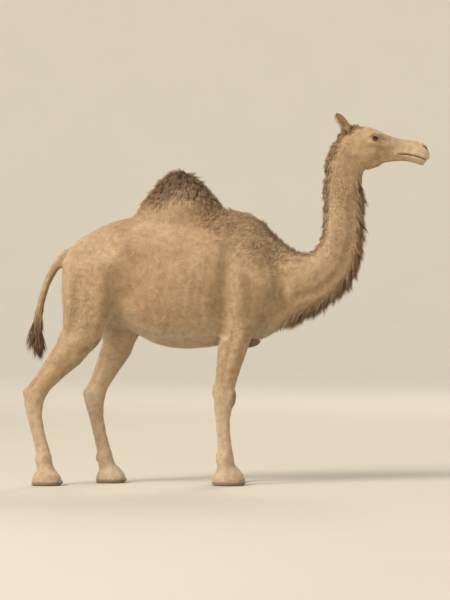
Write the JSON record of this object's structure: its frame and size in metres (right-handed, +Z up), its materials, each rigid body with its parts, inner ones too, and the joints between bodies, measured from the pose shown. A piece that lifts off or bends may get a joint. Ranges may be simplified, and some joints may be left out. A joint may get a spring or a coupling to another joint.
{
  "type": "dromedary camel, standing",
  "caption": "Life-size still model of a standing dromedary camel with its head up, in a short sandy coat with longer hair on the hump, throat, crown and tail.",
  "frame": {"origin": "on the floor, under the middle of the body's box", "axes": "+X towards the muzzle, +Y to the animal's left, +Z up"},
  "size_m": [2.8358, 0.636, 2.596],
  "materials": {
    "coat": "short dense hair, matte",
    "long_hair": "long soft hair, matte",
    "callus": "bare horny skin, matte",
    "horn": "toenail horn, satin",
    "eye": "wet, glossy, dark brown"
  },
  "bodies": {
    "root": {"trunk": "coat", "hump": "long_hair", "chest_pad": "callus", "neck_base": "coat", "neck_middle": "coat", "neck_upper": "coat", "head": "coat", "lower_jaw": "coat", "eye_left": "eye", "ear_left": "coat", "eye_right": "eye", "ear_right": "coat", "tail": "coat", "tail_tuft": "long_hair", "foreleg_left_shoulder": "coat", "foreleg_left_forearm": "coat", "foreleg_left_cannon": "coat", "foreleg_left_foot": "coat", "foreleg_left_nail_inner": "horn", "foreleg_left_nail_outer": "horn", "hindleg_left_thigh": "coat", "hindleg_left_shank": "coat", "hindleg_left_cannon": "coat", "hindleg_left_foot": "coat", "hindleg_left_nail_inner": "horn", "hindleg_left_nail_outer": "horn", "foreleg_right_shoulder": "coat", "foreleg_right_forearm": "coat", "foreleg_right_cannon": "coat", "foreleg_right_foot": "coat", "foreleg_right_nail_inner": "horn", "foreleg_right_nail_outer": "horn", "hindleg_right_thigh": "coat", "hindleg_right_shank": "coat", "hindleg_right_cannon": "coat", "hindleg_right_foot": "coat", "hindleg_right_nail_inner": "horn", "hindleg_right_nail_outer": "horn"}
  },
  "joints": []
}
